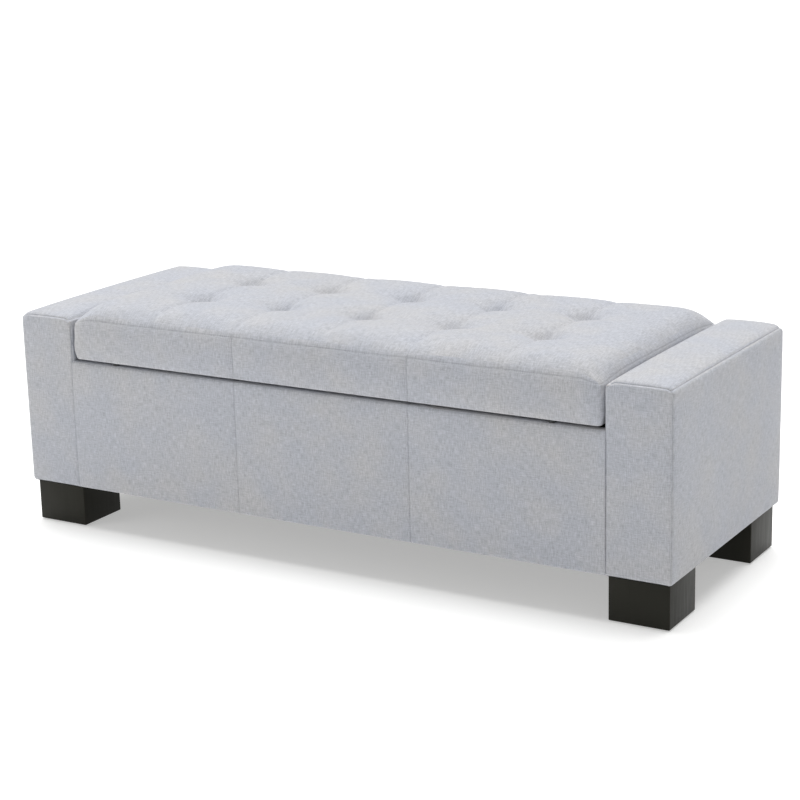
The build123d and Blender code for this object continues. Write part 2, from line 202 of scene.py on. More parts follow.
def cut_across(piece: bpy.types.Object, axis: int, places: list[float]) -> None:
    """Cuts the whole mesh at planes square to one axis.

    Args:
        piece: The object to cut.
        axis: 0, 1 or 2 for X, Y or Z.
        places: Where along the axis each cut goes, in metres.
    """
    take(piece)
    bpy.ops.object.mode_set(mode="EDIT")
    normal = [0.0, 0.0, 0.0]
    normal[axis] = 1.0
    for place in places:
        point = [0.0, 0.0, 0.0]
        point[axis] = place
        bpy.ops.mesh.select_all(action="SELECT")
        bpy.ops.mesh.bisect(plane_co=point, plane_no=normal)
    leave_edit()


def even_cuts(low: float, high: float, step: float) -> list[float]:
    """Returns the places that part a length into equal steps no longer than the given one."""
    count = max(1, int(np.ceil((high - low) / step)))
    return [low + (high - low) * i / count for i in range(1, count)]


def bevel_edges(
    piece: bpy.types.Object, test: Callable[[Vector], bool], width: float, segments: int
) -> None:
    """Rounds the edges whose middles pass a test.

    Args:
        piece: The object.
        test: Says of an edge's middle whether it is wanted.
        width: The rounding in metres.
        segments: How many faces make the rounding.
    """
    select_where(piece, test, "EDGE")
    bpy.ops.mesh.bevel(offset=width, segments=segments, profile=0.5, affect="EDGES")
    leave_edit()


def smooth(piece: bpy.types.Object, angle: float = 180.0) -> None:
    """Shades a piece smooth up to an angle in degrees."""
    take(piece)
    if angle >= 180.0:
        bpy.ops.object.shade_smooth()
    else:
        bpy.ops.object.shade_smooth_by_angle(angle=radians(angle))


def finish_modifier(piece: bpy.types.Object, name: str) -> None:
    """Applies one of the piece's modifiers."""
    take(piece)
    bpy.ops.object.modifier_apply(modifier=name)


def subdivide_smooth(piece: bpy.types.Object, levels: int = 1) -> None:
    """Subdivides a piece smoothly and applies it.

    Args:
        piece: The object.
        levels: The number of subdivisions.
    """
    modifier = piece.modifiers.new("Finer", "SUBSURF")
    modifier.levels = modifier.render_levels = levels
    finish_modifier(piece, "Finer")


def face_outwards(piece: bpy.types.Object) -> None:
    """Turns every face outwards."""
    take(piece)
    bpy.ops.object.mode_set(mode="EDIT")
    bpy.ops.mesh.select_all(action="SELECT")
    bpy.ops.mesh.normals_make_consistent(inside=False)
    leave_edit()


def sew(piece: bpy.types.Object, closeness: np.ndarray) -> None:
    """Keeps on each point how close it is to a seam, for the groove and for the painted shade that the
    cloth's material lays along it.

    Args:
        piece: The cover, before it is shaped.
        closeness: From 0, away from every seam, to 1 on one.
    """
    kept = piece.data.attributes.new("seam", "FLOAT", "POINT")
    kept.data.foreach_set("value", closeness.astype(np.float32))


def sink_seams(piece: bpy.types.Object, depth: float) -> None:
    """Draws the points near a seam in, along the surface's normal.

    Args:
        piece: The cover.
        depth: How deep the seam lies, in metres.
    """
    mesh = piece.data
    close = np.zeros(len(mesh.vertices), np.float32)
    mesh.attributes["seam"].data.foreach_get("value", close)
    normals = np.array([normal.vector[:] for normal in mesh.vertex_normals])
    place_points(piece, points(piece) - normals * (depth * close**2)[:, None])


def close_bottom(piece: bpy.types.Object) -> None:
    """Fills the piece's one open edge with flat triangles."""
    take(piece)
    bpy.ops.object.mode_set(mode="EDIT")
    bpy.ops.mesh.select_mode(type="EDGE")
    bpy.ops.mesh.select_all(action="DESELECT")
    bpy.ops.mesh.select_non_manifold()
    bpy.ops.mesh.fill()
    leave_edit()
    face_outwards(piece)


def ripple(places: np.ndarray, size: float, seed: float) -> np.ndarray:
    """A soft uneven wave over space, the same on every run.

    Args:
        places: Rows of x, y and z in metres.
        size: The usual length of one wave in metres.
        seed: Shifts the pattern, so that two pieces differ.

    Returns:
        One value from about -1 to 1 for each row.
    """
    total = np.zeros(len(places))
    for i, (a, b, c) in enumerate(WAVES):
        turn = 2 * pi / size * (a * places[:, 0] + b * places[:, 1] + c * places[:, 2])
        total += np.sin(turn * (1 + 0.13 * i) + seed * (1.7 + i))
    return total / 4


def round_section(
    a: np.ndarray, b: np.ndarray, low: tuple[float, float], high: tuple[float, float], radii: list
) -> tuple[np.ndarray, np.ndarray]:
    """Draws the corners of a rectangle, and what is inside it, in to arcs.

    Args:
        a: Places along the rectangle's first side.
        b: Places along its second side.
        low: Its lowest corner.
        high: Its highest corner.
        radii: The radius at low-low, high-low, high-high and low-high, one number or one for each place.

    Returns:
        The new places.
    """
    for radius, (side_a, side_b) in zip(radii, ((-1, -1), (1, -1), (1, 1), (-1, 1))):
        centre_a = high[0] - radius if side_a > 0 else low[0] + radius
        centre_b = high[1] - radius if side_b > 0 else low[1] + radius
        away_a, away_b = (a - centre_a) * side_a, (b - centre_b) * side_b
        inside = (away_a > 0) & (away_b > 0)
        reach = np.maximum(away_a, away_b) / np.maximum(np.hypot(away_a, away_b), 1e-9)
        share = np.where(inside, reach, 1.0)
        a = np.where(inside, centre_a + side_a * away_a * share, a)
        b = np.where(inside, centre_b + side_b * away_b * share, b)
    return a, b


def clear_of(p: np.ndarray, low: np.ndarray, high: np.ndarray, margin: float) -> np.ndarray:
    """Moves the points that lie in a box of boards out through its nearest side.

    Args:
        p: The places of a cover's points.
        low: The boards' lowest corner.
        high: The boards' highest corner.
        margin: How far outside the boards a point must be.

    Returns:
        The new places.
    """
    deep = np.concatenate([p - (low - margin), (high + margin) - p], axis=1)
    side = deep.argmin(axis=1)
    least = deep[np.arange(len(p)), side]
    made = p.copy()
    for axis in range(3):
        made[:, axis] -= np.where((least > 0) & (side == axis), least, 0)
        made[:, axis] += np.where((least > 0) & (side == axis + 3), least, 0)
    return made


@dataclass(frozen=True)
class Stuffing:
    """Swells a closed cover by cloth simulation, with some of its points held."""

    pressure: float = 4.0
    frames: int = 20
    cap: float = 0.008
    slack: float = 0.0
    stiffness: float = 15.0
    bending: float = 0.5

    def fill(self, piece: bpy.types.Object, held: np.ndarray, freedom: np.ndarray) -> None:
        """Runs the simulation and applies it.

        Args:
            piece: The cover, in place.
            held: How firmly each point is held, from 0 to 1.
            freedom: The share of the cap that each point may move.
        """
        start = points(piece)
        group = piece.vertex_groups.new(name="held")
        for weight in np.unique(np.round(held, 1)):
            if weight > 0:
                group.add(np.flatnonzero(np.round(held, 1) == weight).tolist(), float(weight), "REPLACE")
        cloth = piece.modifiers.new("Stuffing", "CLOTH")
        settings = cloth.settings
        settings.quality = 5
        settings.mass = 0.3
        settings.air_damping = 3.0
        settings.tension_stiffness = settings.compression_stiffness = self.stiffness
        settings.shear_stiffness = self.stiffness / 3
        settings.bending_stiffness = self.bending
        settings.use_pressure = True
        settings.uniform_pressure_force = self.pressure
        settings.shrink_min = -self.slack
        settings.vertex_group_mass = "held"
        settings.effector_weights.gravity = 0.0
        cloth.collision_settings.use_collision = False
        cloth.point_cache.frame_start = 1
        cloth.point_cache.frame_end = self.frames
        for number in range(1, self.frames + 1):
            bpy.context.scene.frame_set(number)
        finish_modifier(piece, "Stuffing")
        bpy.context.scene.frame_set(1)
        moved = points(piece) - start
        length = np.linalg.norm(moved, axis=1, keepdims=True)
        share = self.cap / (self.cap + length) * freedom[:, None]
        place_points(piece, start + moved * share)
        piece.vertex_groups.clear()


# ---------------------------------------------------------------- materials


class Wiring:
    """A material's nodes, built one after another."""

    def __init__(self, name: str) -> None:
        """Starts an empty material with a Principled shader.

        Args:
            name: The material's name.
        """
        self.material = bpy.data.materials.new(name)
        self.material.use_nodes = True
        self.tree = self.material.node_tree
        self.shader = self.tree.nodes["Principled BSDF"]

    def node(self, kind: str, values: dict | None = None, **settings: object) -> bpy.types.Node:
        """Adds a node.

        Args:
            kind: The node's type without its prefix, such as TexNoise.
            values: Input name or number to a value or to another node's output.
            settings: The node's own settings, such as operation.

        Returns:
            The new node.
        """
        made = self.tree.nodes.new("ShaderNode" + kind)
        for key, value in settings.items():
            setattr(made, key, value)
        for key, value in (values or {}).items():
            self.feed(made.inputs[key], value)
        return made

    def feed(self, socket: bpy.types.NodeSocket, value: object) -> None:
        """Links or sets one input."""
        if isinstance(value, bpy.types.NodeSocket):
            self.tree.links.new(value, socket)
        else:
            socket.default_value = value

    def math(self, operation: str, *values: object) -> bpy.types.NodeSocket:
        """Adds a Math node and returns its output."""
        return self.node("Math", dict(enumerate(values)), operation=operation).outputs[0]

    def scaled(self, vector: bpy.types.NodeSocket, scale: tuple[float, float, float]) -> bpy.types.NodeSocket:
        """Returns the vector times a scale for each axis."""
        return self.node("Mapping", {"Vector": vector, "Scale": scale}).outputs[0]

    def noise(self, vector: bpy.types.NodeSocket, scale: float, detail: float = 2.0) -> bpy.types.NodeSocket:
        """Returns a noise value over a vector."""
        values = {"Vector": vector, "Scale": scale, "Detail": detail}
        return self.node("TexNoise", values).outputs["Fac"]

    def blend(self, share: object, first: object, second: object) -> bpy.types.NodeSocket:
        """Returns a colour between two."""
        mix = self.node("Mix", {0: share}, data_type="RGBA")
        self.feed(mix.inputs[6], first)
        self.feed(mix.inputs[7], second)
        return mix.outputs[2]

    def spread(
        self, value: object, low: float, high: float, to_low: float, to_high: float
    ) -> bpy.types.NodeSocket:
        """Returns a value mapped from one range to another and held inside it."""
        return self.node("MapRange", dict(enumerate((value, low, high, to_low, to_high)))).outputs[0]

    def bump(self, height: object, distance: float, strength: float) -> None:
        """Raises the surface by a height value.

        Args:
            height: The value to raise by.
            distance: How far a height of one stands out, in metres.
            strength: The share of it that shows.
        """
        raised = self.node("Bump", {"Height": height, "Distance": distance, "Strength": strength})
        self.feed(self.shader.inputs["Normal"], raised.outputs[0])

    def set(self, **values: object) -> None:
        """Sets the shader's own sockets, with _ for a space in their names."""
        for key, value in values.items():
            self.feed(self.shader.inputs[key.replace("_", " ")], value)


def tone(red: float, green: float, blue: float) -> Colour:
    """Returns a linear colour with full alpha."""
    return (red, green, blue, 1.0)


@dataclass(frozen=True)
class LinenLook:
    """The light cool-grey upholstery cloth, a plain weave of heathered yarns with slubs."""

    cool: Colour = tone(0.419, 0.432, 0.471)
    warm: Colour = tone(0.440, 0.440, 0.452)
    yarn: float = 0.0012
    slub_width: float = 560.0
    slub_length: float = 80.0

    def make(self) -> bpy.types.Material:
        """Builds the material.

        Returns:
            The upholstery material.
        """
        w = Wiring("upholstery_weave")
        flat, u, v = self.over_surface(w)
        warp = w.noise(w.scaled(flat, (self.slub_width, self.slub_length, 1.0)), 1.0, 3.0)
        weft = w.noise(w.scaled(flat, (self.slub_length, self.slub_width, 1.0)), 1.0, 3.0)
        fleck = w.noise(flat, 950.0, 2.0)
        cloud = w.noise(flat, 16.0, 3.0)
        patch = w.noise(flat, 5.0, 2.0)
        hue = w.math("ADD", w.spread(patch, 0.38, 0.62, 0.0, 0.7), w.spread(cloud, 0.35, 0.65, -0.3, 0.3))
        colour = w.blend(hue, self.cool, self.warm)
        streaks = w.math("ADD", w.spread(warp, 0.3, 0.7, -0.15, 0.15), w.spread(weft, 0.3, 0.7, -0.12, 0.12))
        light = w.math("ADD", streaks, w.spread(fleck, 0.3, 0.7, 0.85, 1.15))
        light = w.math("ADD", light, w.spread(cloud, 0.3, 0.7, -0.018, 0.018))
        # Painted shade: the colour darkens by up to a fifth where the seam attribute is high, in seam
        # grooves, creases and tuft pits.
        seam = w.spread(w.node("Attribute", attribute_name="seam").outputs["Fac"], 0.72, 1.0, 0.0, 1.0)
        light = w.math("MULTIPLY", light, w.math("SUBTRACT", 1.0, w.math("MULTIPLY", seam, 0.2)))
        shaded = w.node("Mix", {0: 1.0}, data_type="RGBA", blend_type="MULTIPLY")
        w.feed(shaded.inputs[6], colour)
        grey = w.node("CombineColor", {0: light, 1: light, 2: light}).outputs[0]
        w.feed(shaded.inputs[7], grey)
        height = w.math("ADD", self.weave(w, u, v), w.math("MULTIPLY", warp, 1.4))
        height = w.math("ADD", height, w.math("MULTIPLY", weft, 0.8))
        height = w.math("SUBTRACT", height, w.math("MULTIPLY", seam, 3.0))
        w.bump(height, 0.0002, 0.4)
        w.set(Base_Color=shaded.outputs[2], Roughness=0.92)
        w.set(Sheen_Weight=0.22, Sheen_Roughness=0.45, Specular_IOR_Level=0.18)
        return w.material

    def over_surface(self, w: Wiring) -> tuple[bpy.types.NodeSocket, ...]:
        """Lays the cloth's two directions on the surface by the way that it faces.

        Args:
            w: The material's wiring.

        Returns:
            The flat place as a vector, and its two parts in metres.
        """
        place = w.node("TexCoord")
        x, y, z = w.node("SeparateXYZ", {0: place.outputs["Object"]}).outputs[:3]
        facing = w.node("SeparateXYZ", {0: place.outputs["Normal"]}).outputs[:3]
        across, back, up = (w.math("ABSOLUTE", side) for side in facing)
        top = w.math("GREATER_THAN", up, w.math("MAXIMUM", across, back))
        end = w.math("MULTIPLY", w.math("GREATER_THAN", across, back), w.math("SUBTRACT", 1.0, top))
        u = w.node("Mix", {0: end, 2: x, 3: y}).outputs[0]
        v = w.node("Mix", {0: top, 2: z, 3: y}).outputs[0]
        return w.node("CombineXYZ", {0: u, 1: v}).outputs[0], u, v

    def weave(self, w: Wiring, u: bpy.types.NodeSocket, v: bpy.types.NodeSocket) -> bpy.types.NodeSocket:
        """Returns the height of a plain weave, where each yarn goes over and under the next."""
        along, over = (w.math("DIVIDE", side, self.yarn) for side in (u, v))
        steps = w.math("ADD", w.math("FLOOR", along), w.math("FLOOR", over))
        odd = w.math("ABSOLUTE", w.math("MODULO", steps, 2.0))
        round_u = w.math("ABSOLUTE", w.math("SINE", w.math("MULTIPLY", along, pi)))
        round_v = w.math("ABSOLUTE", w.math("SINE", w.math("MULTIPLY", over, pi)))
        return w.node("Mix", {0: odd, 2: round_u, 3: round_v}).outputs[0]


@dataclass(frozen=True)
class NonWoven:
    """Thin black cloth of pressed fibres, with the fine dimples of its bonding."""

    colour: Colour = tone(0.012, 0.012, 0.013)
    lighter: Colour = tone(0.03, 0.03, 0.032)

    def make(self) -> bpy.types.Material:
        """Builds the material.

        Returns:
            The black cloth.
        """
        w = Wiring("black_nonwoven")
        place = w.node("TexCoord").outputs["Object"]
        fibres = w.noise(w.scaled(place, (900.0, 260.0, 900.0)), 1.0, 4.0)
        crease = w.noise(place, 14.0, 3.0)
        dots = w.node("TexVoronoi", {"Vector": place, "Scale": 420.0}).outputs["Distance"]
        w.set(Base_Color=w.blend(w.spread(fibres, 0.35, 0.7, 0.0, 1.0), self.colour, self.lighter))
        w.set(Roughness=w.spread(crease, 0.3, 0.7, 0.7, 0.9), Sheen_Weight=0.08, Specular_IOR_Level=0.3)
        height = w.math("ADD", w.math("MULTIPLY", dots, 0.4), w.math("MULTIPLY", crease, 6.0))
        w.bump(w.math("ADD", height, fibres), 0.0003, 0.6)
        return w.material


@dataclass(frozen=True)
class DarkPaint:
    """Satin espresso paint over wood, with a little of the grain showing through."""

    colour: Colour = tone(0.0030, 0.0028, 0.0017)
    worn: Colour = tone(0.020, 0.016, 0.010)
    edge: float = 0.0016

    def make(self) -> bpy.types.Material:
        """Builds the material.

        Returns:
            The foot paint.
        """
        w = Wiring("espresso_paint")
        place = w.node("TexCoord").outputs["Object"]
        grain = w.noise(w.scaled(place, (260.0, 260.0, 14.0)), 1.0, 4.0)
        spray = w.noise(place, 900.0, 2.0)
        rounded = w.node("Bevel", {"Radius": self.edge}).outputs[0]
        plain = w.node("NewGeometry").outputs["Normal"]
        same = w.node("VectorMath", {0: rounded, 1: plain}, operation="DOT_PRODUCT").outputs["Value"]
        rubbed = w.math("MULTIPLY", w.spread(same, 0.995, 0.9, 0.0, 1.0), w.noise(place, 60.0, 3.0))
        w.set(Base_Color=w.blend(rubbed, self.colour, self.worn))
        w.set(Roughness=w.spread(grain, 0.3, 0.7, 0.40, 0.50))
        w.set(Specular_IOR_Level=0.26, Specular_Tint=tone(1.0, 0.99, 0.85))
        w.bump(w.math("ADD", w.math("MULTIPLY", grain, 0.7), w.math("MULTIPLY", spray, 0.3)), 0.0001, 0.5)
        return w.material


@dataclass(frozen=True)
class Timber:
    """Raw wood: planed pine with a grain, or particle board with chips."""

    name: str
    light: Colour
    dark: Colour
    shows: Figure

    def make(self) -> bpy.types.Material:
        """Builds the material.

        Returns:
            The wood.
        """
        w = Wiring(self.name)
        place = w.node("TexCoord").outputs["Object"]
        if self.shows is Figure.CHIPS:
            cells = w.node("TexVoronoi", {"Vector": w.scaled(place, (160.0, 260.0, 200.0)), "Scale": 1.0})
            figure = w.node("SeparateColor", {0: cells.outputs["Color"]}).outputs[0]
        else:
            wander = w.noise(w.scaled(place, (4.0, 30.0, 30.0)), 1.0, 3.0)
            rings = w.node("TexWave", {"Vector": place, "Scale": 45.0, "Distortion": 6.0, "Detail": 2.0})
            figure = w.math("MULTIPLY", rings.outputs["Fac"], wander)
        fine = w.noise(place, 500.0, 3.0)
        share = w.math("ADD", w.math("MULTIPLY", figure, 0.8), w.math("MULTIPLY", fine, 0.2))
        w.set(Base_Color=w.blend(share, self.light, self.dark))
        w.set(Roughness=w.spread(fine, 0.3, 0.7, 0.65, 0.85))
        w.bump(w.math("ADD", figure, fine), 0.0002, 0.4)
        return w.material


@dataclass(frozen=True)
class Metal:
    """Plated or powder-coated steel, with softened edges and a fine uneven surface."""

    name: str
    colour: Colour
    marked: Colour
    metallic: float
    roughness: float
    grit: float

    def make(self) -> bpy.types.Material:
        """Builds the material.

        Returns:
            The metal.
        """
        w = Wiring(self.name)
        place = w.node("TexCoord").outputs["Object"]
        cloud = w.noise(place, 90.0, 4.0)
        grit = w.noise(place, 1800.0, 2.0)
        w.set(Base_Color=w.blend(w.spread(cloud, 0.35, 0.65, 0.0, 1.0), self.colour, self.marked))
        w.set(Metallic=self.metallic)
        w.set(Roughness=w.spread(cloud, 0.3, 0.7, self.roughness, self.roughness + 0.14))
        soft = w.node("Bevel", {"Radius": 0.0004}).outputs[0]
        raised = w.node("Bump", {"Height": grit, "Distance": 0.00008, "Strength": self.grit, "Normal": soft})
        w.set(Normal=raised.outputs[0])
        return w.material


@dataclass(frozen=True)
class Fine:
    """A small matt finish with a speckle, for felt, rubber, twine, foam and moulded plastic."""

    name: str
    colour: Colour
    speck: Colour
    scale: float
    roughness: float
    depth: float

    def make(self) -> bpy.types.Material:
        """Builds the material.

        Returns:
            The finish.
        """
        w = Wiring(self.name)
        place = w.node("TexCoord").outputs["Object"]
        grain = w.noise(place, self.scale, 4.0)
        slow = w.noise(place, self.scale / 12, 2.0)
        share = w.math("ADD", w.spread(grain, 0.35, 0.65, 0.0, 0.7), w.spread(slow, 0.35, 0.65, 0.0, 0.3))
        w.set(Base_Color=w.blend(share, self.colour, self.speck))
        w.set(Roughness=w.spread(slow, 0.3, 0.7, self.roughness - 0.06, self.roughness + 0.06))
        w.bump(grain, self.depth, 0.6)
        return w.material


LOOKS = {
    "upholstery": LinenLook(),
    "foam": Fine("cushion_foam", tone(0.68, 0.64, 0.53), tone(0.56, 0.52, 0.42), 600.0, 0.85, 0.0003),
    "black_cloth": NonWoven(),
    "panel_board": Timber("particle_board", tone(0.50, 0.36, 0.21), tone(0.27, 0.17, 0.09), Figure.CHIPS),
    "block_wood": Timber("planed_pine", tone(0.58, 0.41, 0.22), tone(0.38, 0.23, 0.10), Figure.GRAIN),
    "foot_wood": DarkPaint(),
    "stay_steel": Metal(
        "black_powder_coat", tone(0.014, 0.014, 0.015), tone(0.022, 0.022, 0.023), 0.0, 0.42, 0.8),
    "zinc_steel": Metal("zinc_plate", tone(0.62, 0.62, 0.60), tone(0.48, 0.49, 0.48), 1.0, 0.3, 0.2),
    "pad_felt": Fine("dark_felt", tone(0.016, 0.014, 0.012), tone(0.04, 0.037, 0.034), 1400.0, 0.9, 0.0004),
    "bumper_rubber": Fine(
        "moulded_rubber", tone(0.014, 0.014, 0.014), tone(0.02, 0.02, 0.02), 900.0, 0.6, 0.0001),
    "twine": Fine("waxed_twine", tone(0.55, 0.50, 0.41), tone(0.36, 0.32, 0.25), 2500.0, 0.7, 0.0002),
    "anchor_plastic": Fine(
        "moulded_plastic", tone(0.5, 0.5, 0.48), tone(0.46, 0.46, 0.44), 700.0, 0.5, 0.00005),
}


@dataclass
class Finishes:
    """Every material of the bench, made once for each of the record's slots."""

    made: dict[str, bpy.types.Material] = field(
        default_factory=lambda: {slot: look.make() for slot, look in LOOKS.items()})

    def dress(self, piece: bpy.types.Object, slot: str, body: str) -> None:
        """Gives a new piece its slot's material and the body it rides on.

        Args:
            piece: The finished object.
            slot: The record's material slot.
            body: The CAD body that it moves with.
        """
        piece.data.materials.clear()
        piece.data.materials.append(self.made[slot])
        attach(piece, body)
        LOG.info("%s: %d faces, on %s", piece.name, len(piece.data.polygons), body)

    def dress_cad_nodes(self) -> None:
        """Gives each CAD node that stays the material of its slot."""
        for part in frame["record"]["subparts"]:
            node = frame["nodes"][part["node"]]
            node.data.materials.clear()
            node.data.materials.append(self.made[part["material_slot"]])


# ---------------------------------------------------------------- lid


@dataclass
class LidCushion:
    """The lid's tufted cover, a box of cloth over foam with a seam round its top.

    The places and the turned-in flange (its ends, front and back) are in metres. The depths and widths of
    the shaping, from corner to puff, are in millimetres.
    """

    finishes: Finishes
    seam_z: float = 0.4035
    crown_z: float = 0.4292
    tuft_z: float = 0.4052
    columns: tuple[float, ...] = (-0.352, -0.176, 0.0, 0.176, 0.352)
    joins: tuple[float, ...] = PANEL_JOINS
    across: int = 180
    deep: int = 81
    down: int = 13
    flange: tuple[float, float, float] = (0.018, 0.022, 0.029)
    flange_steps: int = 3
    corner: float = 5.5
    upper_corner: float = 9.0
    inset: float = 1.3
    band_bulge: float = 3.0
    end_bulge: float = 3.4
    corner_dip: float = 6.5
    pleat: tuple[float, float] = (2.6, 4.5)
    pleat_width: float = 16.0
    pleat_reach: float = 32.0
    pleat_start: float = 40.0
    tie: tuple[float, float] = (0.6, 5.5)
    tie_width: float = 17.0
    tie_reach: float = 40.0
    pit: float = 25.0
    pit_width: float = 20.0
    pit_stretch: float = 1.25
    crease: tuple[float, float] = (3.0, 1.6)
    crease_width: float = 3.2
    crease_start: float = 22.0
    crease_reach: float = 45.0
    front_rise: float = 19.0
    end_rise: float = 17.0
    puff: float = 1.2

    def build(self) -> bpy.types.Object:
        """Models, stuffs and dresses the cover.

        Returns:
            The finished cover.
        """
        self.low, self.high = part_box("lid_cover")
        self.rows = [self.low.y + (self.high.y - self.low.y) * share / 3 for share in (1, 2)]
        piece = self.sewn_box()
        self.shape(piece)
        self.stuff(piece)
        close_bottom(piece)
        smooth(piece)
        self.finishes.dress(piece, "upholstery", "lid")
        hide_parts("lid_cover", "lid_foam")
        return piece

    def sewn_box(self) -> bpy.types.Object:
        """Makes the flat top as a grid and draws its border down and in under the board.

        Returns:
            The box, open underneath, before it is shaped.
        """
        size, middle = self.high - self.low, (self.low + self.high) / 2
        piece = new_grid("lid_cushion", self.low, self.high, self.seam_z, (self.across, self.deep))
        bpy.ops.object.mode_set(mode="EDIT")
        bpy.ops.mesh.select_mode(type="EDGE")
        bpy.ops.mesh.select_all(action="DESELECT")
        bpy.ops.mesh.select_non_manifold()
        drop = (self.low.z - self.seam_z) / self.down
        for _ in range(self.down):
            bpy.ops.mesh.extrude_region_move(TRANSFORM_OT_translate={"value": (0.0, 0.0, drop)})
        sides, front, back = self.flange
        still = self.low.y + size.y * front / (front + back)
        taken = ((2 * sides, size.x), (front + back, size.y))
        steps = self.flange_steps
        for turn in range(1, steps + 1):
            bpy.ops.mesh.extrude_region_move(TRANSFORM_OT_translate={"value": (0.0, 0.0, 0.0)})
            long, wide = (1 - off * turn / steps / whole for off, whole in taken)
            long_before, wide_before = (1 - off * (turn - 1) / steps / whole for off, whole in taken)
            shrink = (long / long_before, wide / wide_before, 1.0)
            bpy.ops.transform.resize(value=shrink, center_override=(middle.x, still, self.low.z))
        bpy.ops.mesh.extrude_region_move(TRANSFORM_OT_translate={"value": (0.0, 0.0, 0.003)})
        leave_edit()
        sew(piece, self.closeness(piece))
        return piece

    def to_tufts(self, x: np.ndarray, y: np.ndarray, unit: float = 1.0) -> tuple[np.ndarray, np.ndarray]:
        """How far each place is from the tufts' nearest column and nearest row.

        Args:
            x: Places along the bench.
            y: Places from front to back.
            unit: The places' unit in metres.

        Returns:
            The distances to a column and to a row, in the same unit.
        """
        near_column = np.abs(x[:, None] - np.array(self.columns) / unit).min(1)
        near_row = np.abs(y[:, None] - np.array(self.rows) / unit).min(1)
        return near_column, near_row

    def closeness(self, piece: bpy.types.Object) -> np.ndarray:
        """How close each point of the flat box is to a seam, a crease or a tuft's middle, for the grooves and
        for the painted shade that the cloth's material lays there.

        Args:
            piece: The box, before it is shaped.

        Returns:
            From 0, away from them, to 1 on a seam or at a tuft's middle and less on a crease.
        """
        p = points(piece)
        x, y, z = p.T
        step = (self.high.x - self.low.x) / self.across
        edge = np.min([x - self.low.x, self.high.x - x, y - self.low.y, self.high.y - y], axis=0)
        round_top = 1 - (np.abs(z - self.seam_z) + np.maximum(edge, 0)) / step
        on_band = (np.abs(edge) < 0.001) & (z < self.seam_z) & (z > self.low.z - 0.001)
        join = np.where(on_band, 1 - np.abs(np.abs(x) - abs(self.joins[0])) / step, 0)
        on_top = z > self.seam_z - 0.001
        near_column, near_row = self.to_tufts(x, y)
        # Creases along the tuft columns: a shallow groove, and painted shade in the cloth's colour.
        crease = np.where(on_top, (1 - near_column / step) * (0.84 + 0.1 * np.exp(-near_row / 0.03)), 0)
        # Tuft middles: a small dent, and a painted shade spot in the cloth's colour.
        tuft_dent_and_shade = np.where(on_top, 1.08 - np.hypot(near_column, near_row) / 0.011, 0)
        return np.clip(np.max([round_top, join, crease, tuft_dent_and_shade], axis=0), 0, 1)

    def shape(self, piece: bpy.types.Object) -> None:
        """Puffs the top, pulls the tufts down, rounds the corners and swells the bands.

        Args:
            piece: The open box.
        """
        p = points(piece) / MM
        x, y, z = p.T
        low, high = self.low / MM, self.high / MM
        seam = self.seam_z / MM
        on_top = z > seam - 0.1
        edge_x = np.minimum(x - low.x, high.x - x)
        edge_y = np.minimum(y - low.y, high.y - y)
        z = np.where(on_top, self.top_height(x, y, edge_x, edge_y), z)
        level = np.clip((z - low.z) / (seam - low.z), 0, 1)
        band = (~on_top) & (z > low.z + 0.1)
        middle, half = (low + high) / 2, (high - low) / 2
        on_end = np.abs(np.abs(x - middle.x) - half.x) < 0.5
        on_front = np.abs(np.abs(y - middle.y) - half.y) < 0.5
        to_join = np.abs(np.abs(x) - abs(self.joins[0]) / MM)
        pucker = 1 - 0.5 * np.exp(-to_join / 9)
        out = self.band_bulge * np.abs(np.sin(pi * level)) ** 0.6 * band * np.where(on_front, pucker, 1.0)
        out = out + np.where(on_end, self.end_bulge * np.clip(level * 2.5, 0, 1), 0.0)
        x = x + np.sign(x - middle.x) * (out - self.inset) * on_end
        y = y + np.sign(y - middle.y) * (out - self.inset) * on_front
        radius = self.corner + self.upper_corner * np.clip((z - 345) / 25, 0, 1)
        half = half - Vector((self.inset, self.inset, 0))
        corners = [(middle.x + side * half.x, middle.y + side * half.y) for side in (-1, 1)]
        x, y = round_section(x, y, *corners, [radius] * 4)
        near_end = np.exp(-((edge_x / 24) ** 2))
        z = z - self.corner_dip * near_end * np.exp(-((edge_y / 60) ** 2)) * level
        z = z + 1.0 * np.exp(-edge_x / 7) * (1 - level) * on_front * band
        place_points(piece, np.column_stack((x, y, z)) * MM)

    def top_height(self, x: np.ndarray, y: np.ndarray, edge_x: np.ndarray, edge_y: np.ndarray) -> np.ndarray:
        """The height of the tufted top in millimetres.

        Args:
            x: Places along the bench.
            y: Places from front to back.
            edge_x: Distance to the nearer end.
            edge_y: Distance to the front or back.

        Returns:
            The height at each place, no lower than the ties hold the tufts.
        """
        seam, crown = self.seam_z / MM, self.crown_z / MM
        near_column, near_row = self.to_tufts(x, y, MM)
        rise = (1 - np.exp(-edge_y / self.front_rise)) * (1 - np.exp(-edge_x / self.end_rise))
        valley = self.pleat[0] + self.pleat[1] * np.exp(-near_row / self.pleat_reach)
        valley = valley * np.exp(-np.sqrt(near_column**2 + 3) / self.pleat_width)
        valley = valley * (1 - np.exp(-edge_y / self.pleat_start))
        fold = self.tie[0] + self.tie[1] * np.exp(-near_column / self.tie_reach)
        fold = fold * np.exp(-np.sqrt(near_row**2 + 3) / self.tie_width)
        out = np.hypot(near_column / self.pit_stretch, near_row)
        pit = self.pit * np.exp(-((out / self.pit_width) ** 1.5))
        crisp = self.crease[0] * np.exp(-near_column / self.crease_width)
        crisp = crisp * (1 - np.exp(-edge_y / self.crease_start))
        cross = self.crease[1] * np.exp(-near_row / self.crease_width)
        crisp = crisp + cross * np.exp(-near_column / self.crease_reach)
        fade = 1 - np.exp(-np.minimum(edge_x, edge_y) / 16)
        puff = self.puff * ripple(np.column_stack((x, y, 0 * x)) * MM, 0.19, 1.0) * rise
        most = crown - self.tuft_z / MM
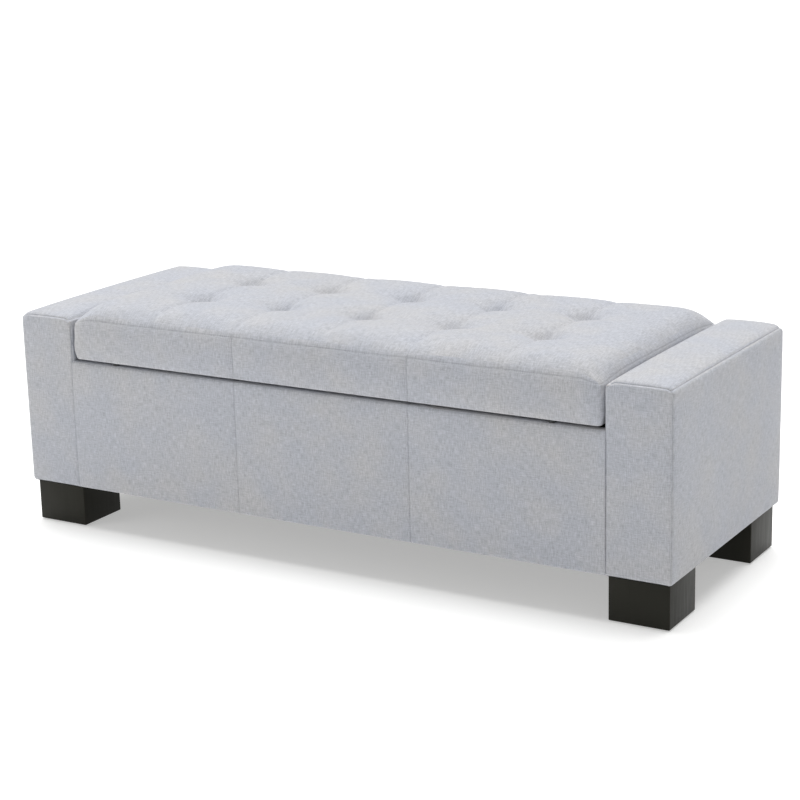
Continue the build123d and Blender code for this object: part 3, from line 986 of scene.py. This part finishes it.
        pulled = (valley + fold + pit + crisp) * (0.25 + 0.75 * fade)
        pulled = pulled / (1 + (pulled / most) ** 4) ** 0.25
        sunk = seam + (crown - seam) * rise - pulled + puff
        return np.maximum(sunk, self.tuft_z / MM - 40 * (1 - rise))

    def stuff(self, piece: bpy.types.Object) -> None:
        """Swells the cover with its tufts and its turned-in edge held, and refines it.

        Args:
            piece: The shaped cover.
        """
        p = points(piece)
        near_column, near_row = self.to_tufts(p[:, 0], p[:, 1])
        tuft = (np.hypot(near_column, near_row) < 0.0075) & (p[:, 2] > self.seam_z - 0.02)
        bottom = p[:, 2] < self.low.z + 0.004
        free = 1 - np.exp(-((np.hypot(near_column, near_row) / 0.045) ** 2))
        free *= 1 - 0.6 * np.exp(-near_column / 0.014) * (p[:, 2] > self.seam_z - 0.004)
        held = np.where(bottom | tuft, 1.0, 0.0)
        Stuffing(pressure=2.5, frames=14, cap=0.003, slack=0.008).fill(piece, held, free)
        subdivide_smooth(piece)
        sink_seams(piece, 0.0009)


# ---------------------------------------------------------------- box ends and chest covers


@dataclass
class CoveredBlock:
    """A block under cloth: a box cut into fine panels, with its long and end edges rounded."""

    name: str
    low: Vector
    high: Vector
    along: int
    radii: list[float]
    end_radius: float
    step: float = 0.008
    extra_cuts: tuple[tuple[int, float], ...] = ()
    top_round: float = 0.0

    def build(self) -> bpy.types.Object:
        """Makes the finely cut box.

        Returns:
            The block, with its flat places still in its mesh.
        """
        piece = new_box(self.name, self.low, self.high)
        for axis in range(3):
            low, high = self.low[axis], self.high[axis]
            edge = max(self.end_radius + self.top_round if axis == self.along else max(self.radii), 0.004)
            near = [d for d in EDGE_CUTS if d <= edge + TOUCHING and d < (high - low) / 2]
            edge = max(near)
            places = [low + d for d in near] + [high - d for d in near]
            places += even_cuts(low + edge, high - edge, self.step) if high - low > 2 * edge else []
            places += [place for which, place in self.extra_cuts if which == axis]
            cut_across(piece, axis, sorted(set(places)))
        return piece

    def rounded(self, p: np.ndarray) -> np.ndarray:
        """Rounds the box's edges.

        Args:
            p: The flat places in metres.

        Returns:
            The rounded places in metres.
        """
        first, second = [i for i in range(3) if i != self.along]
        a, b, c = p[:, first], p[:, second], p[:, self.along]
        low, high = (self.low[first], self.low[second]), (self.high[first], self.high[second])
        inwards = np.min([a - low[0], high[0] - a, b - low[1], high[1] - b], axis=0)
        big = max(self.radii)
        thin = high[0] - low[0] <= 2 * big
        out_a = np.zeros_like(a) if thin else a - np.clip(a, low[0] + big, high[0] - big)
        out_b = b - np.clip(b, low[1] + big, high[1] - big)
        length = np.maximum(np.hypot(out_a, out_b), 1e-9)
        a, b = round_section(a, b, low, high, self.radii)
        radius = self.end_radius + self.top_round * np.clip((p[:, 2] - self.high.z + 0.012) / 0.010, 0, 1)
        from_end = np.minimum(c - self.low[self.along], self.high[self.along] - c)
        deep, wide = radius - from_end, radius - np.maximum(inwards, 0)
        inside = (deep > 0) & (wide > 0)
        share = np.where(inside, np.maximum(deep, wide) / np.maximum(np.hypot(deep, wide), 1e-9), 1.0)
        shift = np.where(inside, wide * (1 - share), 0.0)
        move = np.where(inside, deep * (1 - share), 0.0)
        middle = (self.low[self.along] + self.high[self.along]) / 2
        made = p.copy()
        made[:, first] = a - out_a / length * shift
        made[:, second] = b - out_b / length * shift
        made[:, self.along] = c - np.sign(c - middle) * move
        return made


@dataclass
class ArmCover:
    """The padded cover of one box end, its top and inner side one panel over a soft edge."""

    finishes: Finishes
    side: Side
    soft_edge: float = 0.019
    sewn_edge: float = 0.0065
    crown: float = 0.0075
    swell: float = 0.0036
    wadding: float = 0.0035
    turn_in: float = 0.300
    chest_front: float = -0.2235
    chest_back: float = 0.2200
    behind_lining: float = 0.0055
    underside_recess: float = 0.006
    fuller_end: float = 0.0025
    fuller_back: float = 0.004

    def build(self) -> bpy.types.Object:
        """Models and dresses the cover.

        Returns:
            The finished cover.
        """
        side = self.side.value
        self.low, self.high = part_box(f"{side}_arm_cover")
        self.right = self.side is Side.RIGHT
        inner = self.low.x if self.right else self.high.x
        soft, sewn = self.soft_edge, self.sewn_edge
        radii = [0.003, 0.006, 2 * sewn, soft] if self.right else [0.006, 0.003, soft, 2 * sewn]
        cuts = ((2, self.turn_in), (2, self.turn_in - MM), (1, self.chest_front), (1, self.chest_front - MM),
                (1, self.chest_back), (1, self.chest_back + MM))
        cuts += tuple((axis, edge + inwards * (self.wadding + d)) for axis in (0, 1) for d in (0.0, 0.0006)
                      for edge, inwards in ((self.low[axis], 1), (self.high[axis], -1)))
        name = f"{side}_arm_upholstery"
        block = CoveredBlock(name, self.low, self.high, 1, radii, sewn, 0.008, cuts, 0.007)
        piece = block.build()
        flat = points(piece)
        sew(piece, self.closeness(flat, inner))
        p = self.swollen(flat, block.rounded(flat))
        hidden = (np.abs(flat[:, 0] - inner) < TOUCHING) & (flat[:, 2] < self.turn_in - 5e-4)
        hidden &= (flat[:, 1] > self.chest_front - 5e-4) & (flat[:, 1] < self.chest_back + 5e-4)
        boards = (np.array(self.low) + (0.0035, 0.0035, -0.01), np.array(self.high) - (0.0035, 0.0025, 0.014))
        p = clear_of(p, *boards, 0.0010)
        p[hidden, 0] = inner + (self.behind_lining if self.right else -self.behind_lining)
        outer = self.high.x if self.right else self.low.x
        border = np.minimum(np.abs(flat[:, 0] - outer), flat[:, 1] - self.low.y)
        border = np.minimum(border, self.high.y - flat[:, 1])
        under = (flat[:, 2] < self.low.z + TOUCHING) & (border > self.wadding + 4e-4)
        p[under, 2] = self.low.z + self.underside_recess
        place_points(piece, p)
        held = np.where(flat[:, 2] > self.high.z - 0.03, 0.0, 1.0)
        Stuffing(pressure=2.0, frames=10, cap=0.004, slack=0.004).fill(piece, held, np.ones(len(p)))
        sink_seams(piece, 0.0007)
        p = points(piece)
        place_points(piece, np.where((flat[:, 2] > 0.35)[:, None], clear_of(p, *boards, 0.0016), p))
        smooth(piece)
        self.finishes.dress(piece, "upholstery", "chest")
        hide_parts(f"{side}_arm_cover", f"{side}_arm_foam")
        return piece

    def closeness(self, flat: np.ndarray, inner: float) -> np.ndarray:
        """How close each point is to a seam: round the front, back and outer panels, for the groove and for
        the painted shade along it.

        Args:
            flat: The flat box's places.
            inner: The x of the side that faces the lid.

        Returns:
            From 0 to 1 for each point.
        """
        outer = self.high.x if self.right else self.low.x
        to_outer, to_inner = np.abs(flat[:, 0] - outer), np.abs(flat[:, 0] - inner)
        to_front, to_back = np.abs(flat[:, 1] - self.low.y), np.abs(flat[:, 1] - self.high.y)
        to_top = np.abs(flat[:, 2] - self.high.z)
        pairs = [(end, side) for end in (to_front, to_back) for side in (to_top, to_outer, to_inner)]
        pairs.append((to_outer, to_top))
        return np.clip(np.max([1 - (one + other) / 0.0055 for one, other in pairs], axis=0), 0, 1)

    def swollen(self, flat: np.ndarray, p: np.ndarray) -> np.ndarray:
        """Crowns the top and bows the panels.

        Args:
            flat: The flat box's places.
            p: The rounded places.

        Returns:
            The new places.
        """
        middle, half = (np.array(corner / 2) for corner in (self.low + self.high, self.high - self.low))
        share = np.clip((flat - middle) / half, -1, 1)
        across, deep, up = (1 - np.abs(share[:, i]) ** power for i, power in enumerate((3.0, 9.0, 6.0)))
        lift = np.clip((flat[:, 2] - self.high.z + 0.09) / 0.09, 0, 1) ** 2
        p = p.copy()
        along = 1 - np.where(share[:, 1] > 0, 0.55, 0.8) * np.abs(share[:, 1]) ** 2.6
        p[:, 2] -= (self.crown * (1 - across * along) - 0.0015) * lift
        outer = share[:, 0] * (1 if self.right else -1) > 0.75
        uneven = 1 + 0.3 * ripple(flat, 0.13, 2.0 if self.right else 5.0)
        p[:, 0] += np.sign(share[:, 0]) * self.swell * (deep * up * uneven - 0.15) * outer
        front = np.abs(share[:, 1]) > 0.95
        most = np.where(share[:, 1] > 0, 1.2, 0.6) * self.swell
        p[:, 1] += np.sign(share[:, 1]) * most * (across * up * uneven - 0.2) * front
        outwards = share[:, 0] * (1 if self.right else -1)
        p[:, 0] += np.sign(share[:, 0]) * self.fuller_end * np.clip((outwards - 0.7) / 0.3, 0, 1)
        p[:, 1] += self.fuller_back * np.clip((share[:, 1] - 0.85) / 0.15, 0, 1)
        return p


@dataclass
class ChestCover:
    """The cloth over the chest's front or back, in three panels, turned over the rim."""

    finishes: Finishes
    face: Face
    joins: tuple[float, ...] = PANEL_JOINS
    turn_in: float = 0.300
    swell: float = 0.0018
    tuck: float = 0.003
    behind_lining: float = 0.0035
    underside_recess: float = 0.006

    def build(self) -> bpy.types.Object:
        """Models and dresses the cover.

        Returns:
            The finished cover.
        """
        self.low, self.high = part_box(f"{self.face.value}_cover")
        self.low.x -= self.tuck
        self.high.x += self.tuck
        front = self.face is Face.FRONT
        low, high = self.low, self.high
        radii = [0.0042, 0.001, 0.004, 0.007] if front else [0.001, 0.0025, 0.0025, 0.004]
        cuts = [(2, self.turn_in), (2, self.turn_in - MM)]
        board = low.y + 0.0035 if front else high.y - 0.0025
        cuts += [(1, board), (1, board + (0.0006 if front else -0.0006))]
        cuts += [(0, join + d) for join in self.joins for d in (-0.006, -0.003, 0.0, 0.003, 0.006)]
        name = f"{self.face.value}_upholstery"
        block = CoveredBlock(name, low, high, 0, radii, 0.0025, 0.012, tuple(cuts))
        piece = block.build()
        flat = points(piece)
        outer, inner = (low.y, high.y) if front else (high.y, low.y)
        to_join = np.abs(np.abs(flat[:, 0]) - abs(self.joins[0]))
        seen = np.abs(flat[:, 1] - inner) > TOUCHING
        # Closeness to the panel joins, for the groove and for the painted shade along them.
        sew(piece, np.where(seen, np.clip(1 - to_join / 0.006, 0, 1), 0))
        p = block.rounded(flat)
        hidden = (np.abs(flat[:, 1] - inner) < TOUCHING) & (flat[:, 2] < self.turn_in - 5e-4)
        p[hidden, 1] = inner + (-self.behind_lining if front else self.behind_lining)
        under = (flat[:, 1] > board + 4e-4) if front else (flat[:, 1] < board - 4e-4)
        p[(flat[:, 2] < low.z + TOUCHING) & under, 2] = low.z + self.underside_recess
        up = np.clip((flat[:, 2] - low.z) / (high.z - low.z), 0, 1)
        panel = np.clip(to_join / 0.09, 0, 1) ** 0.5
        bow = panel * (1 - np.abs(2 * up - 1) ** 6) * (1 + 0.35 * ripple(flat, 0.22, 3.0))
        on_face = np.abs(flat[:, 1] - outer) < TOUCHING
        p[:, 1] += np.where(on_face, (0.2 - bow) * self.swell, 0) * (1 if front else -1)
        place_points(piece, p)
        sink_seams(piece, 0.0008)
        smooth(piece)
        self.finishes.dress(piece, "upholstery", "chest")
        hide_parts(f"{self.face.value}_cover")
        return piece


# ---------------------------------------------------------------- linings


@dataclass
class Linings:
    """The black non-woven cloth: a tub in the chest, and flat sheets under the lid and the chest."""

    finishes: Finishes
    staple_gap: float = 0.055
    staple_edge: float = 0.009
    thickness: float = 0.0008

    def build(self) -> None:
        """Models and dresses all three."""
        self.tub()
        self.flat_sheet("lid_lining", "lid_underside_cloth", "lid")
        self.flat_sheet("dust_cover", "chest_underside_cloth", "chest")

    def tub(self) -> bpy.types.Object:
        """Makes the chest's lining, an open tub with a slightly loose cloth.

        Returns:
            The lining.
        """
        low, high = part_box("compartment_lining")
        piece = new_box("chest_lining", low, high)
        select_where(piece, lambda c: c.z > high.z - TOUCHING, "FACE")
        bpy.ops.mesh.delete(type="FACE")
        leave_edit()
        for axis, step in ((0, 0.025), (1, 0.025), (2, 0.020)):
            cut_across(piece, axis, even_cuts(low[axis], high[axis], step))
        p = points(piece)
        middle, half = np.array((low + high) / 2), np.array((high - low) / 2)
        share = np.abs(p - middle) / half
        loose = 0.0005 * (1 + ripple(p, 0.16, 4.0))
        for axis in (0, 1):
            wall = share[:, axis] > 0.999
            away = np.prod([1 - share[:, i] ** 8 for i in range(3) if i != axis], axis=0)
            p[:, axis] -= np.sign(p[:, axis] - middle[axis]) * np.where(wall, loose * away, 0)
        floor = p[:, 2] < low.z + TOUCHING
        p[:, 2] += np.where(floor, loose * (1 - share[:, 0] ** 8) * (1 - share[:, 1] ** 8), 0)
        place_points(piece, p)
        take(piece)
        thick = piece.modifiers.new("Cloth", "SOLIDIFY")
        thick.thickness, thick.offset = self.thickness, -1.0
        finish_modifier(piece, "Cloth")
        smooth(piece, 40.0)
        self.finishes.dress(piece, "black_cloth", "chest")
        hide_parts("compartment_lining")
        return piece

    def flat_sheet(self, node: str, name: str, body: str) -> bpy.types.Object:
        """Makes a flat sheet, taut between its staples and slightly slack in between.

        Args:
            node: The CAD node that it stands for.
            name: The piece's name.
            body: The body that it rides on.

        Returns:
            The sheet.
        """
        low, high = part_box(node)
        size, middle = high - low, (low + high) / 2
        piece = new_grid(name, low, high, high.z - 0.0001, (64, 26))
        p = points(piece)
        share = np.abs((p[:, :2] - np.array(middle)[:2]) / (np.array(size)[:2] / 2))
        inside = (1 - share[:, 0] ** 10) * (1 - share[:, 1] ** 10)
        p[:, 2] -= 0.0001 + 0.0003 * (1 + ripple(p, 0.21, 6.0)) * inside
        place_points(piece, p)
        take(piece)
        thick = piece.modifiers.new("Cloth", "SOLIDIFY")
        thick.thickness, thick.offset = 0.0004, 1.0
        finish_modifier(piece, "Cloth")
        face_outwards(piece)
        smooth(piece, 40.0)
        self.finishes.dress(piece, "black_cloth", body)
        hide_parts(node)
        self.staples(name + "_staples", low, high, body)
        return piece

    def staples(self, name: str, low: Vector, high: Vector, body: str) -> bpy.types.Object:
        """Puts a row of wire staples along the four edges of a sheet.

        Args:
            name: The piece's name.
            low: The sheet's lowest corner.
            high: Its highest corner.
            body: The body that they ride on.

        Returns:
            All of the staples, as one piece.
        """
        edge, z = self.staple_edge, low.z + 0.0003
        places = []
        for y in (low.y + edge, high.y - edge):
            count = round((high.x - low.x) / self.staple_gap)
            places += [(low.x + (high.x - low.x) * (i + 0.5) / count, y, True) for i in range(count)]
        for x in (low.x + edge, high.x - edge):
            count = round((high.y - low.y) / self.staple_gap)
            places += [(x, low.y + (high.y - low.y) * (i + 0.5) / count, False) for i in range(count)]
        wire = new_box(name, Vector((-0.005, -0.0006, -0.0003)), Vector((0.005, 0.0006, 0.0003)))
        bevel_edges(wire, lambda c: True, 0.00025, 2)
        one = points(wire)
        faces = [tuple(f.vertices) for f in wire.data.polygons]
        rows, all_faces = [], []
        for number, (x, y, lengthwise) in enumerate(places):
            turned = one if lengthwise else one[:, [1, 0, 2]] * np.array([1, -1, 1])
            rows.append(turned + np.array([x, y, z]))
            all_faces += [tuple(i + number * len(one) for i in face) for face in faces]
        mesh = bpy.data.meshes.new(name)
        mesh.from_pydata(np.vstack(rows).tolist(), [], all_faces)
        wire.data = mesh
        face_outwards(wire)
        smooth(wire, 50.0)
        self.finishes.dress(wire, "zinc_steel", body)
        return wire


# ---------------------------------------------------------------- feet


@dataclass
class Feet:
    """Four painted wood blocks with eased edges."""

    finishes: Finishes
    ease: float = 0.0018

    def build(self) -> list[bpy.types.Object]:
        """Models one foot for each CAD foot.

        Returns:
            The feet.
        """
        made = []
        for corner in ("front_left", "front_right", "back_left", "back_right"):
            low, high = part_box(f"{corner}_foot")
            piece = new_box(f"{corner}_block_foot", low, high)
            bevel_edges(piece, lambda c: True, self.ease, 3)
            smooth(piece, 40.0)
            self.finishes.dress(piece, "foot_wood", "chest")
            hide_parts(f"{corner}_foot")
            made.append(piece)
        return made


# ---------------------------------------------------------------- studio


@dataclass(frozen=True)
class Studio:
    """A white floor, soft lights and the camera."""

    eye: tuple[float, float, float] = (1.8170, -3.0105, 1.1952)
    yaw: float = 30.863
    pitch: float = 15.025
    roll: float = -1.437
    lens: float = 90.41
    sky: float = 0.305
    key: float = 3.92
    floor_glow: float = 0.40
    left_fill: float = 11.0

    def camera(self) -> None:
        """Adds the camera and makes it the scene's."""
        data = bpy.data.cameras.new("camera")
        data.lens, data.sensor_width = self.lens, 36.0
        data.clip_start, data.clip_end = 0.05, 200.0
        camera = bpy.data.objects.new("camera", data)
        bpy.context.scene.collection.objects.link(camera)
        turn = (Matrix.Rotation(radians(self.yaw), 4, "Z") @ Matrix.Rotation(radians(90 - self.pitch), 4, "X")
                @ Matrix.Rotation(radians(self.roll), 4, "Z"))
        camera.matrix_world = Matrix.Translation(self.eye) @ turn
        bpy.context.scene.camera = camera

    def floor(self) -> None:
        """Adds the white floor, which isn't part of the bench."""
        deselect()
        bpy.ops.mesh.primitive_plane_add(size=80.0, location=(0.0, 0.0, 0.0))
        floor = bpy.context.active_object
        floor.name = "floor"
        w = Wiring("white_floor")
        w.set(Base_Color=tone(0.70, 0.70, 0.697), Roughness=0.8, Specular_IOR_Level=0.1)
        w.set(Emission_Color=tone(1.0, 1.0, 0.99), Emission_Strength=self.floor_glow)
        floor.data.materials.append(w.material)

    def lamp(
        self, name: str, place: tuple[float, float, float], size: tuple[float, float], power: float
    ) -> None:
        """Adds a soft rectangular light aimed at the bench.

        Args:
            name: The light's name.
            place: Where it hangs, in metres.
            size: Its width and height in metres.
            power: Its power in watts.
        """
        data = bpy.data.lights.new(name, "AREA")
        data.shape, data.size, data.size_y, data.energy = "RECTANGLE", size[0], size[1], power
        lamp = bpy.data.objects.new(name, data)
        bpy.context.scene.collection.objects.link(lamp)
        lamp.location = place
        lamp.rotation_euler = (Vector((0.0, 0.0, 0.25)) - Vector(place)).to_track_quat("-Z", "Y").to_euler()

    def sun(self, name: str, towards: tuple[float, float, float], strength: float, spread: float) -> None:
        """Adds a wide, far light.

        Args:
            name: The light's name.
            towards: The direction that it stands in, from the bench.
            strength: Its strength in watts to the square metre.
            spread: The angle that it fills, in degrees.
        """
        data = bpy.data.lights.new(name, "SUN")
        data.energy, data.angle = strength, radians(spread)
        sun = bpy.data.objects.new(name, data)
        bpy.context.scene.collection.objects.link(sun)
        sun.location = Vector(towards) * 5
        sun.rotation_euler = (-Vector(towards)).to_track_quat("-Z", "Y").to_euler()

    def build(self) -> None:
        """Sets up the whole studio."""
        scene = bpy.context.scene
        scene.view_settings.view_transform = "Standard"
        world = bpy.data.worlds.new("studio_white")
        world.use_nodes = True
        background = world.node_tree.nodes["Background"]
        background.inputs["Color"].default_value = tone(1.0, 1.0, 1.0)
        background.inputs["Strength"].default_value = self.sky
        scene.world = world
        self.floor()
        self.sun("overhead", (-0.12, 0.25, 1.0), self.key, 56.0)
        self.lamp("front_left", (-1.9, -2.0, 0.9), (1.4, 1.2), self.left_fill)
        self.camera()


def main() -> None:
    """Builds the bench's looks and the studio."""
    logging.basicConfig(level=logging.INFO, format="%(message)s")
    finishes = Finishes()
    finishes.dress_cad_nodes()
    Studio().build()
    LidCushion(finishes).build()
    for side in Side:
        ArmCover(finishes, side).build()
    for face in Face:
        ChestCover(finishes, face).build()
    Linings(finishes).build()
    Feet(finishes).build()


if __name__ == "__main__":
    main()
